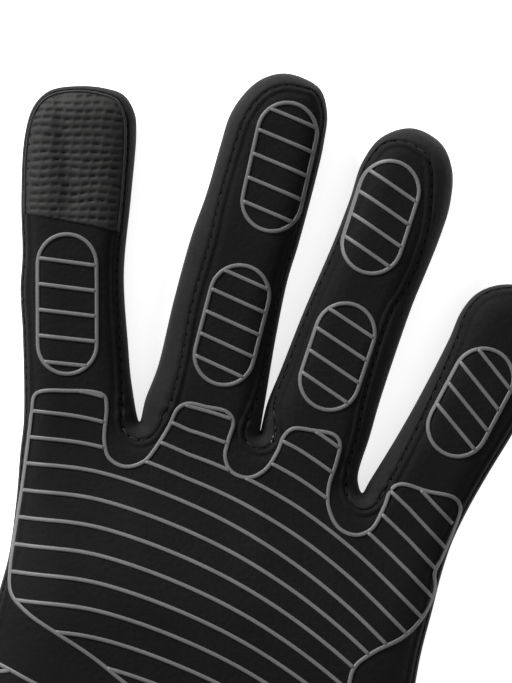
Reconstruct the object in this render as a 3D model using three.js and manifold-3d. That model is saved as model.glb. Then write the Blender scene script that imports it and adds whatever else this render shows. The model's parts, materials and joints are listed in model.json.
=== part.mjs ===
// Knit touchscreen glove for the left hand, lying on its back with the palm up. Millimetres.
// +Y runs from the cuff to the fingertips, +Z points up out of the palm, and the thumb is on the -X side.
// The glove is a hollow form, cut along its seams into palm, back and side panels, and across each finger
// at two folding lines. Silicone grip lines and conductive patches lie on the palm side.
import * as THREE from 'three';
import { mergeVertices } from 'three/addons/utils/BufferGeometryUtils.js';
import Module from 'manifold-3d';

const wasm = await Module();
wasm.setup();

// Driving dimensions.
const wall = 1.2; // knit fabric with its brushed inside
const gap = 0.3; // clearance between neighbouring pieces
const fingerThickness = 13;
const thumbThickness = 15;
const seamHeight = fingerThickness / 2; // where a palm panel meets a back panel
const fourchetteWidth = 5; // side strip between the palm and back panels of a finger
const fourchetteEnd = 9; // distance from a fingertip to the point of its side strips
const hingeDepth = 1.5; // the folding line lies this far below the palm surface
const wedgeHeight = 12; // of the clearance above a folding line, taller than the finger there
const wedgeSlack = 1; // degrees that each side of the wedge opens beyond half the fold
const hingeSpan = 60; // wider than any digit
const lineWidth = 1; // silicone grip line
const printHeight = 0.4; // how far the silicone stands up
const patchThickness = 0.6; // conductive patch
const patchLow = 0.72; // the patch covers a fingertip above this share of its thickness
const printAboveSeam = 2; // prints and patches stay this far above the seam between palm and back
const ovalWidth = 14.5; // outside width of a grip oval
const crumb = 2; // cubic millimetres: smaller leftovers of a cut are dropped
const hemLength = 5;
const wristAt = 53; // distance from the cuff's mouth to the seam where the cuff meets the hand
const wristElasticWidth = 7;
const elasticThickness = 0.8;
const reach = 400; // longer than the glove, for cutting blocks
const sides = 16; // facets around a finger or the hand
const fingerRoundness = 2.6; // superellipse exponents of the sections
const handRoundness = 3.4;

const knit = { color: 0x232325, roughness: 0.95, metalness: 0 };
const ribKnit = { color: 0x1d1d1f, roughness: 0.95, metalness: 0 };
const silicone = { color: 0x77797c, roughness: 0.55, metalness: 0 };
const conductive = { color: 0x4a4a4d, roughness: 0.6, metalness: 0 };
const elastic = { color: 0x2f2f33, roughness: 0.8, metalness: 0 };

const v2 = (x, y) => new THREE.Vector2(x, y);

// Each finger's centre line runs through root, middle and tip. Widths are at the same three places.
// root and middle hinges are given by their distance from the tip, fold by the direction in which the
// finger folds, in degrees clockwise from +Y, and flex by the largest angles of the two joints.
const fingers = [
  {
    name: 'index',
    line: [v2(-25.7, 165), v2(-27.3, 197), v2(-25.5, 242)],
    widths: [25.6, 24.4, 25.2],
    thickness: fingerThickness,
    hinges: [68, 33],
    fold: [7.5, 7.5],
    flex: [80, 95],
    strips: [1],
    ovals: [{ fromTip: 50.2, length: 32.6, stripes: 5 }],
    slant: 7,
    patch: true,
  },
  {
    name: 'middle',
    line: [v2(2.9, 165.7), v2(12.4, 204.5), v2(21.5, 245)],
    widths: [24.4, 24, 23.4],
    thickness: fingerThickness,
    hinges: [76.5, 41.5],
    fold: [15, 15],
    flex: [80, 95],
    strips: [-1, 1],
    ovals: [
      { fromTip: 22.3, length: 30.6, stripes: 5 },
      { fromTip: 59.3, length: 28.7, stripes: 5 },
    ],
    slant: 9,
  },
  {
    name: 'ring',
    line: [v2(29, 165), v2(39.1, 195.3), v2(51.1, 232.3)],
    widths: [23.8, 23.4, 22.4],
    thickness: fingerThickness,
    hinges: [70.5, 39],
    fold: [18, 18],
    flex: [80, 95],
    strips: [-1, 1],
    ovals: [
      { fromTip: 22, length: 28, stripes: 4 },
      { fromTip: 54.9, length: 26.5, stripes: 4 },
    ],
    slant: 13,
  },
  {
    name: 'little',
    line: [v2(52.9, 147.9), v2(64, 169), v2(78.5, 195.5)],
    widths: [23.4, 23, 22],
    thickness: fingerThickness,
    hinges: [48, 29.5],
    fold: [22, 22],
    flex: [80, 95],
    strips: [-1],
    ovals: [{ fromTip: 29.2, length: 27.5, stripes: 4 }],
    slant: 22,
  },
];
// The thumb's line starts deep in the ball of the thumb, near the wrist.
const thumb = {
  name: 'thumb',
  line: [v2(-18, 64), v2(-50, 93.5), v2(-95, 145)],
  widths: [36, 28, 26],
  thickness: thumbThickness,
  hinges: [60, 29],
  fold: [-73, -45],
  flex: [60, 70],
  strips: [],
  ovals: [],
  slant: 0,
  patch: true,
};
const digits = [...fingers, thumb];

// Rows of the hand from the wrist to the knuckles, given by the left and right edge and the thickness.
const wristRow = { left: v2(-33, wristAt), right: v2(43, wristAt), thickness: 17 };
const handRows = [
  wristRow,
  { left: v2(-37.5, 80), right: v2(48, 80), thickness: 20 },
  { left: v2(-43, 112), right: v2(54, 110), thickness: 20 },
  { left: v2(-42, 130), right: v2(58.5, 124), thickness: 19 },
  { left: v2(-40, 148), right: v2(60.5, 134), thickness: 17 },
  { left: v2(-38.5, 162), right: v2(61, 140), thickness: fingerThickness + 1 },
  { left: v2(-37.5, 166), right: v2(61, 143), thickness: fingerThickness - 2 },
];
// Rows of the rib-knit cuff from its hem to the wrist.
const cuffRows = [
  { left: v2(-38, 0), right: v2(46, 0), thickness: 16 },
  { left: v2(-36.5, 18), right: v2(45, 18), thickness: 16 },
  { left: v2(-33.5, 42), right: v2(43, 42), thickness: 16 },
  wristRow,
];
// Bottoms of the gaps between neighbouring fingers.
const crotches = [
  { name: 'index_middle', at: v2(-11.5, 164.5) },
  { name: 'middle_ring', at: v2(16, 161) },
  { name: 'ring_little', at: v2(39.5, 148) },
];
const gussetRadius = 13; // how far a side strip's base reaches from the bottom of its gap

// ---- Solids ----

function solidOf(geometry) {
  const bare = geometry.clone();
  bare.deleteAttribute('normal');
  bare.deleteAttribute('uv');
  const merged = mergeVertices(bare, 1e-4);
  return new wasm.Manifold(new wasm.Mesh({
    numProp: 3,
    vertProperties: new Float32Array(merged.attributes.position.array),
    triVerts: new Uint32Array(merged.index.array),
  }));
}

function geometryOf(solid) {
  const mesh = solid.getMesh();
  const geometry = new THREE.BufferGeometry();
  geometry.setAttribute('position', new THREE.BufferAttribute(new Float32Array(mesh.vertProperties), 3));
  geometry.setIndex(new THREE.BufferAttribute(new Uint32Array(mesh.triVerts), 1));
  geometry.computeVertexNormals();
  return geometry;
}

function joined(solids) {
  return solids.reduce((sum, solid) => sum.add(solid));
}

function largest(solid) {
  return solid.decompose().sort((a, b) => b.volume() - a.volume())[0];
}

// A block between two corners, turned clockwise about a point in plan.
function block(low, high, turn = 0, about = v2(0, 0)) {
  const geometry = new THREE.BoxGeometry(high.x - low.x, high.y - low.y, high.z - low.z);
  geometry.translate((low.x + high.x) / 2, (low.y + high.y) / 2, (low.z + high.z) / 2);
  geometry.rotateZ(-THREE.MathUtils.degToRad(turn));
  geometry.translate(about.x, about.y, 0);
  return solidOf(geometry);
}

const xyz = (x, y, z) => new THREE.Vector3(x, y, z);
const above = (z) => block(xyz(-reach, -reach, z), xyz(reach, reach, reach));
const below = (z) => block(xyz(-reach, -reach, -reach), xyz(reach, reach, z));

// A form lofted through rows, standing on the floor: a cylinder whose rings become superellipses.
// A row may be lifted off the floor. Every surface moves inwards by inset.
function loft(rows, roundness, inset) {
  const last = rows.length - 1;
  const geometry = new THREE.CylinderGeometry(1, 1, 1, sides, last, false, Math.PI / sides);
  const power = 2 / roundness;
  const flat = Math.cos(Math.PI / sides) ** power;
  const swell = (c) => Math.sign(c) * Math.abs(c) ** power / flat;
  const position = geometry.attributes.position;
  for (let i = 0; i < position.count; i += 1) {
    const row = rows[Math.round((position.getY(i) + 0.5) * last)];
    const across = row.right.clone().sub(row.left);
    const halfWidth = across.length() / 2 - inset;
    const place = row.left.clone().add(row.right).multiplyScalar(0.5);
    place.addScaledVector(across.normalize(), halfWidth * swell(position.getX(i)));
    const height = row.thickness / 2 + (row.thickness / 2 - inset) * swell(position.getZ(i));
    position.setXYZ(i, place.x, place.y, (row.lift ?? 0) + height);
  }
  return solidOf(geometry);
}

// ---- Digits ----

const rootLength = 18; // how far a digit's form reaches down beyond its centre line, into the hand
const tipRound = 9; // length of the rounded fingertip
const tipSquareness = 2.5;
const tipAngles = [0, 32, 55, 74]; // steps around the rounded tip
const tipThickness = 0.25; // thickness at the very tip, as a share of the digit's
const straightRows = [1, 0.66, 0.33]; // rows of the straight part, as shares of the centre line from the tip

const centreLine = (digit) => new THREE.SplineCurve(digit.line);

// A place on the centre line, by its distance from the tip, with the direction towards the tip.
function placeOnLine(digit, fromTip) {
  const curve = centreLine(digit);
  const length = curve.getLength();
  const along = THREE.MathUtils.clamp(1 - fromTip / length, 0, 1);
  const direction = curve.getTangentAt(along);
  const at = curve.getPointAt(along);
  const beyond = Math.max(fromTip - length, 0);
  return { at: at.addScaledVector(direction, -beyond), direction, along };
}

function widthAt(digit, along) {
  const [root, middle, tip] = digit.widths;
  return along < 0.5
    ? THREE.MathUtils.lerp(root, middle, along * 2)
    : THREE.MathUtils.lerp(middle, tip, along * 2 - 1);
}

function digitRow(digit, fromTip, widthShare, thicknessShare) {
  const { at, direction, along } = placeOnLine(digit, fromTip);
  const half = v2(direction.y, -direction.x).multiplyScalar(widthAt(digit, along) * widthShare / 2);
  const thickness = digit.thickness * thicknessShare;
  return {
    left: at.clone().sub(half),
    right: at.clone().add(half),
    thickness,
    lift: (digit.thickness - thickness) / 2,
  };
}

function digitForm(digit, inset) {
  const length = centreLine(digit).getLength();
  const straight = [length + rootLength, ...straightRows.map((share) => length * share)]
    .map((fromTip) => digitRow(digit, fromTip, 1, 1));
  const power = 2 / tipSquareness;
  const round = tipAngles.map(THREE.MathUtils.degToRad).map((angle) => {
    const fromTip = inset + (tipRound - inset) * (1 - Math.sin(angle) ** power);
    const share = Math.cos(angle) ** power;
    return digitRow(digit, fromTip, share, THREE.MathUtils.lerp(tipThickness, 1, share));
  });
  return loft([...straight, ...round], fingerRoundness, inset);
}

// ---- Folding lines ----

function hingeOf(digit, joint) {
  const { at } = placeOnLine(digit, digit.hinges[joint]);
  return { at, height: digit.thickness - hingeDepth, fold: digit.fold[joint], flex: digit.flex[joint] };
}

// What a folding line clears: a thin slot below the hinge, and above it a wedge that closes when folded.
function hingeClearance(digit, joint) {
  const { at, height, fold, flex } = hingeOf(digit, joint);
  const half = gap / 2;
  const wide = half + wedgeHeight * Math.tan(THREE.MathUtils.degToRad(flex / 2 + wedgeSlack));
  const profile = new THREE.Shape([
    v2(-half, -reach), v2(half, -reach), v2(half, 0),
    v2(wide, wedgeHeight), v2(-wide, wedgeHeight), v2(-half, 0),
  ]);
  const geometry = new THREE.ExtrudeGeometry(profile, { depth: hingeSpan, bevelEnabled: false });
  geometry.translate(0, 0, -hingeSpan / 2);
  // The profile's x becomes the fold direction, its y becomes up, and the extrusion runs along the hinge.
  geometry.rotateX(Math.PI / 2);
  geometry.rotateZ(Math.PI / 2 - THREE.MathUtils.degToRad(fold));
  geometry.translate(at.x, at.y, height);
  return solidOf(geometry);
}

// Cuts a digit's solid at both folding lines and gives back the part in the hand and the two segments.
function splitAtHinges(digit, solid) {
  const parts = 3;
  const cut = solid.subtract(hingeClearance(digit, 0)).subtract(hingeClearance(digit, 1));
  const tip = digit.line[2];
  const distance = (part) => {
    const box = part.boundingBox();
    return tip.distanceTo(v2((box.min[0] + box.max[0]) / 2, (box.min[1] + box.max[1]) / 2));
  };
  return cut.decompose()
    .sort((a, b) => b.volume() - a.volume())
    .slice(0, parts)
    .sort((a, b) => distance(b) - distance(a));
}

// ---- Shell of the whole glove ----

const handForm = (inset) => loft(handRows, handRoundness, inset);
const digitStub = (digit, inset) => splitAtHinges(digit, digitForm(digit, inset))[0];
const palmForm = (inset) => joined([handForm(inset), ...digits.map((digit) => digitStub(digit, inset))]);

// The inside runs on past each folding line, and the shell is cut off square at the wrist, so that every
// part of it is open.
function handShell() {
  const inside = joined([handForm(wall), ...digits.map((digit) => digitForm(digit, wall))]);
  const hand = block(xyz(-reach, wristAt, -reach), xyz(reach, reach, reach));
  return palmForm(0).subtract(inside).intersect(hand);
}

// ---- Panels ----

const stripLow = seamHeight - fourchetteWidth / 2;
const stripHigh = seamHeight + fourchetteWidth / 2;

// The room of a side strip: from the centre line outwards on one side, up to its point near the tip.
function stripRoom(digit, side, clearance) {
  const { at, direction } = placeOnLine(digit, fourchetteEnd);
  const turn = THREE.MathUtils.radToDeg(Math.atan2(direction.x, direction.y));
  const low = xyz(side > 0 ? 0 : -digit.widths[0], -reach, stripLow - clearance);
  const high = xyz(side > 0 ? digit.widths[0] : 0, clearance, stripHigh + clearance);
  return block(low, high, turn, at);
}

function segmentPanels(digit, segment) {
  const rooms = digit.strips.map((side) => stripRoom(digit, side, gap));
  const rest = rooms.reduce((left, room) => left.subtract(room), segment);
  return {
    palm: largest(rest.intersect(above(seamHeight + gap / 2))),
    back: largest(rest.intersect(below(seamHeight - gap / 2))),
    strips: digit.strips.map((side) => largest(segment.intersect(stripRoom(digit, side, 0)))),
  };
}

function gussetRoom(crotch, clearance) {
  const radius = gussetRadius + clearance;
  const geometry = new THREE.CylinderGeometry(radius, radius, fourchetteWidth + 2 * clearance, sides);
  geometry.rotateX(Math.PI / 2);
  geometry.translate(crotch.at.x, crotch.at.y, seamHeight);
  return solidOf(geometry);
}

// ---- Silicone grip lines and conductive patches ----

// The thin layer above the palm side of a form in which a print of some height lies.
function layerOver(form, height) {
  return form(-gap - height).subtract(form(-gap)).intersect(above(seamHeight + printAboveSeam));
}

// The points of a path in plan, all moved sideways by the same distance.
function movedSideways(points, distance, closed) {
  const wrapped = (i) => THREE.MathUtils.euclideanModulo(i, points.length);
  const clamped = (i) => THREE.MathUtils.clamp(i, 0, points.length - 1);
  const neighbour = (i) => points[closed ? wrapped(i) : clamped(i)];
  return points.map((point, i) => {
    const run = neighbour(i + 1).clone().sub(neighbour(i - 1)).normalize();
    return point.clone().add(v2(run.y, -run.x).multiplyScalar(distance));
  });
}

function prismOf(shape) {
  return solidOf(new THREE.ExtrudeGeometry(shape, { depth: reach, bevelEnabled: false }));
}

// A grip line along an open path, as a wall tall enough to cut any layer.
function stroke(points) {
  const left = movedSideways(points, -lineWidth / 2, false);
  const right = movedSideways(points, lineWidth / 2, false);
  return prismOf(new THREE.Shape([...left, ...right.reverse()]));
}

// The same round a closed path.
function closedStroke(points) {
  const path = THREE.ShapeUtils.isClockWise(points) ? [...points].reverse() : points;
  const shape = new THREE.Shape(movedSideways(path, lineWidth / 2, true));
  shape.holes.push(new THREE.Path(movedSideways(path, -lineWidth / 2, true)));
  return prismOf(shape);
}

// A point in the frame of a place on a finger: across to the right, along to the tip.
function local(place, across, along) {
  const { at, direction } = place;
  return at.clone().addScaledVector(direction, along).addScaledVector(v2(direction.y, -direction.x), across);
}

// An oval's outline and the slanting stripes that cross it.
function ovalStrokes(finger, { fromTip, length, stripes }) {
  const arcSteps = 4;
  const slopeShare = 0.8; // a stripe's ends are looked for this far out, as a share of the radius
  const place = placeOnLine(finger, fromTip);
  const radius = (ovalWidth - lineWidth) / 2;
  const straight = (length - lineWidth) / 2 - radius;
  const outline = new THREE.Path();
  outline.absarc(0, straight, radius, 0, Math.PI);
  outline.absarc(0, -straight, radius, Math.PI, 2 * Math.PI);
  const ring = outline.getPoints(arcSteps).map((p) => local(place, p.x, p.y));
  const strokes = [closedStroke(ring)];
  const rise = Math.tan(THREE.MathUtils.degToRad(finger.slant));
  const reachAcross = (level) => Math.sqrt(radius ** 2 - Math.max(Math.abs(level) - straight, 0) ** 2);
  const outermost = straight + radius / 2;
  const slope = radius * rise * slopeShare;
  for (let k = 0; k < stripes; k += 1) {
    const along = THREE.MathUtils.lerp(-outermost, outermost, k / (stripes - 1));
    const half = Math.min(reachAcross(along - slope), reachAcross(along + slope));
    strokes.push(stroke([local(place, -half, along + half * rise), local(place, half, along - half * rise)]));
  }
  return joined(strokes);
}

// The palm print's border: tongues under the fingers, round bays around the gaps between the fingers,
// the little finger's edge, the heel of the hand, and the crease beside the thumb.
function palmPrintOutline() {
  const bay = 6; // radius of a bay
  const bayEnd = 1.9 * Math.PI; // the first bay leans over to the middle finger's tongue
  const curveSteps = 3;
  const [first, second, third] = crotches.map(({ at }) => v2(at.x - 1, at.y - 3));
  const outline = new THREE.Path();
  outline.moveTo(-36, 167.5);
  outline.quadraticCurveTo(-35.5, 171.5, -31, 171.8);
  outline.lineTo(-21.5, 171.6);
  outline.quadraticCurveTo(first.x - bay, 171.5, first.x - bay, 167);
  outline.absarc(first.x, first.y, bay, Math.PI, bayEnd);
  outline.quadraticCurveTo(-5, 169, -0.3, 169);
  outline.lineTo(8, 167.3);
  outline.quadraticCurveTo(10, 166.5, 9, 161);
  outline.absarc(second.x, second.y, bay, Math.PI, 2 * Math.PI);
  outline.quadraticCurveTo(22, 163.5, 26, 163.3);
  outline.lineTo(32, 162.3);
  outline.quadraticCurveTo(35.5, 160.5, third.x - bay, 151);
  outline.absarc(third.x, third.y, bay, Math.PI, 2 * Math.PI);
  outline.quadraticCurveTo(45.5, 151.2, 49, 151);
  outline.lineTo(59, 148.5);
  outline.quadraticCurveTo(62.5, 147, 60.5, 142);
  outline.lineTo(55.5, 131.5);
  outline.quadraticCurveTo(57, 124, 50, 117.5);
  outline.quadraticCurveTo(37.5, 112.5, 36, 105);
  outline.lineTo(33, 80);
  outline.quadraticCurveTo(31, 70, 23, 70);
  outline.quadraticCurveTo(14, 70, 9.5, 79);
  outline.quadraticCurveTo(3.5, 95, -12, 105);
  outline.lineTo(-38, 124);
  outline.quadraticCurveTo(-41.5, 126, -41, 131);
  return outline.getPoints(curveSteps);
}

const stripePitch = 6.1;
const stripeLevel = 155.5; // where the first stripe below the index finger's tongue starts
const stripesAbove = 2;
const stripesBelow = 15;
// How far a stripe falls on its way across the palm: level under the index finger, then steeper.
const stripeWave = [v2(-43, 0.3), v2(-22, -1.7), v2(0, -9), v2(17.5, -18.3), v2(36, -32.3), v2(62, -59)];

function palmStripes() {
  const curveSteps = 5;
  const stripes = [];
  for (let k = -stripesAbove; k <= stripesBelow; k += 1) {
    const level = stripeLevel - k * stripePitch;
    const wave = stripeWave.map(({ x, y }) => v2(x, level + y));
    stripes.push(stroke(new THREE.SplineCurve(wave).getPoints(curveSteps)));
  }
  return joined(stripes);
}

function palmPrint(layer) {
  const outline = palmPrintOutline();
  const stripes = palmStripes().intersect(prismOf(new THREE.Shape(outline)));
  return largest(layer.intersect(closedStroke(outline).add(stripes)));
}

// The print beside the thumb: a leaf between two curves from the hand's edge to the heel, with lines across.
function thumbPrint(layer) {
  const fields = 6;
  const upper = new THREE.SplineCurve([v2(-46, 110.5), v2(-40, 108), v2(-30, 103), v2(-16, 92), v2(-6, 76)]);
  const lower = new THREE.SplineCurve([v2(-46, 110.5), v2(-50, 96), v2(-42, 80), v2(-26, 70), v2(-6, 76)]);
  const lines = [stroke(upper.getPoints(fields)), stroke(lower.getPoints(fields))];
  for (let k = 1; k < fields; k += 1) {
    lines.push(stroke([upper.getPointAt(k / fields), lower.getPointAt(k / fields)]));
  }
  return largest(layer.intersect(joined(lines)));
}

// ---- Assembly ----

const glove = new THREE.Group();

function addPiece(name, solid, look) {
  const mesh = new THREE.Mesh(geometryOf(solid), new THREE.MeshStandardMaterial(look));
  mesh.name = name;
  glove.add(mesh);
}

function addDigit(digit) {
  const shell = digitForm(digit, 0).subtract(digitForm(digit, wall));
  const segments = splitAtHinges(digit, shell).slice(1);
  ['proximal', 'distal'].forEach((place, i) => {
    const panels = segmentPanels(digit, segments[i]);
    addPiece(`${digit.name}_${place}_palm`, panels.palm, knit);
    addPiece(`${digit.name}_${place}_back`, panels.back, knit);
    panels.strips.forEach((strip, k) => {
      const side = digit.strips[k] > 0 ? 'outer' : 'inner';
      addPiece(`${digit.name}_${place}_fourchette_${side}`, strip, knit);
    });
  });
}

// An oval lies on one segment, or it is cut in two by the middle folding line.
function addOvals(finger) {
  const layer = layerOver((inset) => digitForm(finger, inset), printHeight);
  finger.ovals.forEach((oval) => {
    const parts = splitAtHinges(finger, layer.intersect(ovalStrokes(finger, oval)))
      .filter((part) => part.volume() > crumb);
    const beyondHinge = oval.fromTip + oval.length / 2 < finger.hinges[1];
    parts.forEach((part, k) => {
      const place = beyondHinge || k > 0 ? 'distal' : 'proximal';
      addPiece(`${finger.name}_${place}_grip_oval`, part, silicone);
    });
  });
}

function addPatch(digit) {
  const layer = layerOver((inset) => digitForm(digit, inset), patchThickness);
  const tip = splitAtHinges(digit, layer.intersect(above(digit.thickness * patchLow)))[2];
  addPiece(`${digit.name}_touch_patch`, largest(tip), conductive);
}

function addHand() {
  const shell = handShell();
  const gussets = crotches.map((crotch) => gussetRoom(crotch, gap));
  const rest = gussets.reduce((left, room) => left.subtract(room), shell);
  addPiece('palm_panel', largest(rest.intersect(above(seamHeight + gap / 2))), knit);
  addPiece('back_panel', largest(rest.intersect(below(seamHeight - gap / 2))), knit);
  crotches.forEach((crotch) => {
    addPiece(`gusset_${crotch.name}`, largest(shell.intersect(gussetRoom(crotch, 0))), knit);
  });
}

// A slice of the cuff's form between two distances from the mouth, inset on both faces.
function cuffRing(from, to, outerInset, innerInset) {
  const slice = block(xyz(-reach, from, -reach), xyz(reach, to, reach));
  const longer = [
    { ...cuffRows[0], left: v2(-38, -hemLength), right: v2(46, -hemLength) },
    ...cuffRows,
    { ...wristRow, left: v2(-33, wristAt + hemLength), right: v2(43, wristAt + hemLength) },
  ];
  const ring = loft(longer, handRoundness, outerInset).subtract(loft(longer, handRoundness, innerInset));
  return ring.intersect(slice);
}

function addCuff() {
  const ring = cuffRing(hemLength, wristAt - gap, 0, wall);
  addPiece('cuff_palm_half', ring.intersect(above(seamHeight + gap / 2)), ribKnit);
  addPiece('cuff_back_half', ring.intersect(below(seamHeight - gap / 2)), ribKnit);
  addPiece('cuff_hem', cuffRing(0, hemLength - gap, 0, 2 * wall), ribKnit);
  const inner = wall + gap;
  const start = wristAt - gap - wristElasticWidth;
  const band = cuffRing(start, start + wristElasticWidth, inner, inner + elasticThickness);
  addPiece('wrist_elastic', band, elastic);
}

addHand();
addCuff();
digits.forEach(addDigit);
fingers.forEach(addOvals);
digits.filter((digit) => digit.patch).forEach(addPatch);
const palmLayer = layerOver(palmForm, printHeight);
addPiece('palm_grip_print', palmPrint(palmLayer), silicone);
addPiece('thumb_grip_print', thumbPrint(palmLayer), silicone);

// The origin is at the middle of the underside.
const middle = new THREE.Box3().setFromObject(glove).getCenter(new THREE.Vector3());
glove.position.set(-middle.x, -middle.y, 0);

export default glove;
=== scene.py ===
"""A left-hand knit touchscreen glove lying palm up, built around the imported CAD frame.

Plan coordinates are millimetres seen from above: x to the right, y from the cuff's mouth to the fingertips.
"""

import json
import math

import bmesh
import bpy
import numpy as np
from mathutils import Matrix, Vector, kdtree, noise
from mathutils.geometry import delaunay_2d_cdt

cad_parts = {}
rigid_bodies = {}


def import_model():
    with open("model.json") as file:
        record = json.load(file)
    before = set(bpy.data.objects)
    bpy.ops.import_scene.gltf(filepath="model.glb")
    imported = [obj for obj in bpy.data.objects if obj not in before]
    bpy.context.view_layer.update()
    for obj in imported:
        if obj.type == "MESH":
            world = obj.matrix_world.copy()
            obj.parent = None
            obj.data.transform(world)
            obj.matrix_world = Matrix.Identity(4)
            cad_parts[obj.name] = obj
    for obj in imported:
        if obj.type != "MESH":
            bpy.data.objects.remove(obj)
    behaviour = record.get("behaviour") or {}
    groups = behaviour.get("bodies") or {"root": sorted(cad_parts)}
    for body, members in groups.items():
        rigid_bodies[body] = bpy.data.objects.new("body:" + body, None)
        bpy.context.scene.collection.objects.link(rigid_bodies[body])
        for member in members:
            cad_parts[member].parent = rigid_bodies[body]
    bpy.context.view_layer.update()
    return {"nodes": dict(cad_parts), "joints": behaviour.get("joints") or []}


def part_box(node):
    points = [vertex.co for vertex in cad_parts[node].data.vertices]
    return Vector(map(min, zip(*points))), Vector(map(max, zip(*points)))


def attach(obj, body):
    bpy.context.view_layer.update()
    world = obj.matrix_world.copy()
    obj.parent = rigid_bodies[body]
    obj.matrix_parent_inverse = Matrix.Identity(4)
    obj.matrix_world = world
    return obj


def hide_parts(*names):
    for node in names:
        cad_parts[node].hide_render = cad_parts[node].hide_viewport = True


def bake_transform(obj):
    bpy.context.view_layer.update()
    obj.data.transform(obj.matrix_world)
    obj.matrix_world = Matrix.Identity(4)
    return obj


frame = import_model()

MM = 0.001
CUFF_CENTRE = 4  # plan x of the middle of the cuff's mouth
WRIST = 53  # plan y of the seam between cuff and hand
HEM = 5  # length of the folded hem
WALL = 1.2  # rib knit of the cuff with its brushed inside
KNIT_WALL = 0.4  # thin enough to turn round the narrow strips and sewn grooves
FINGER_HALF = 6.5  # half the thickness of a finger
THUMB_HALF = 7.5
PALM_HALF = 10
WRIST_HALF = 8.5

hem_low, hem_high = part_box("cuff_hem")
PLAN_ORIGIN = np.array([(hem_low.x + hem_high.x) / 2 - CUFF_CENTRE * MM, hem_low.y, 0])


def to_frame(points):
    """Plan millimetres to metres of the frame."""
    return np.asarray(points, float) * MM + PLAN_ORIGIN


def to_plan(point):
    return ((np.array(point) - PLAN_ORIGIN) / MM)[:2]


# ---- Curves in plan ----


def resample(curve, spacing):
    """The same curve with points at even steps along its first two coordinates."""
    steps = np.linalg.norm(np.diff(curve[:, :2], axis=0), axis=1)
    length = np.concatenate([[0], np.cumsum(steps)])
    count = max(1, round(length[-1] / spacing))
    at = np.linspace(0, length[-1], count + 1)
    return np.stack([np.interp(at, length, column) for column in curve.T], axis=1)


CURVE_STEPS = 30  # first steps of a smooth curve between two of its given points


def smooth_curve(points, spacing):
    """A centripetal Catmull-Rom curve through the points."""
    points = np.array(points, float)
    p = np.vstack([2 * points[0] - points[1], points, 2 * points[-1] - points[-2]])
    chords = np.linalg.norm(np.diff(p[:, :2], axis=0), axis=1)
    knot = np.concatenate([[0], np.cumsum(np.sqrt(chords))])

    def between(a, b, low, high, u):
        return ((knot[high] - u) * a + (u - knot[low]) * b) / (knot[high] - knot[low])

    pieces = []
    for i in range(1, len(p) - 2):
        u = np.linspace(knot[i], knot[i + 1], CURVE_STEPS, endpoint=False)[:, None]
        a1 = between(p[i - 1], p[i], i - 1, i, u)
        a2 = between(p[i], p[i + 1], i, i + 1, u)
        a3 = between(p[i + 1], p[i + 2], i + 1, i + 2, u)
        b1 = between(a1, a2, i - 1, i + 1, u)
        b2 = between(a2, a3, i, i + 2, u)
        pieces.append(between(b1, b2, i, i + 1, u))
    pieces.append(points[-1:])
    return resample(np.vstack(pieces), spacing)


def closed_curve(points, spacing):
    """A smooth closed curve: the open one with its ends wrapped, cut back to one turn."""
    wrap = 3
    looped = points[-wrap:] + points + points[: wrap + 1]
    fine = smooth_curve(looped, spacing / 8)
    start = np.argmin(np.linalg.norm(fine[: len(fine) // 3] - points[0], axis=1))
    late = 2 * len(fine) // 3
    stop = late + np.argmin(np.linalg.norm(fine[late:] - points[0], axis=1))
    return resample(fine[start : stop + 1], spacing)


def tangents(curve):
    steps = np.gradient(curve[:, :2], axis=0)
    return steps / np.linalg.norm(steps, axis=1)[:, None]


def turned_right(vectors):
    return np.stack([vectors[:, 1], -vectors[:, 0]], axis=1)


def smooth_step(x, low, high):
    t = np.clip((np.asarray(x, float) - low) / (high - low), 0, 1)
    return t * t * (3 - 2 * t)


def tree_of(points):
    """A search tree of plan points."""
    tree = kdtree.KDTree(len(points))
    for i, point in enumerate(points):
        tree.insert((point[0], point[1], 0), i)
    tree.balance()
    return tree


def distance_to_nearest(points, others):
    tree = tree_of(others)
    return np.array([tree.find((x, y, 0))[2] for x, y in points[:, :2]])


def inside(points, polygon):
    """Which of the points lie in the closed polygon."""
    x, y = points[:, 0], points[:, 1]
    result = np.zeros(len(points), bool)
    a = polygon[-1]
    for b in polygon:
        crosses = (a[1] > y) != (b[1] > y)
        if crosses.any():
            reach = (b[0] - a[0]) * (y - a[1]) / (b[1] - a[1] + 1e-12) + a[0]
            result ^= crosses & (x < reach)
        a = b
    return result


# ---- The digits ----

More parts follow.
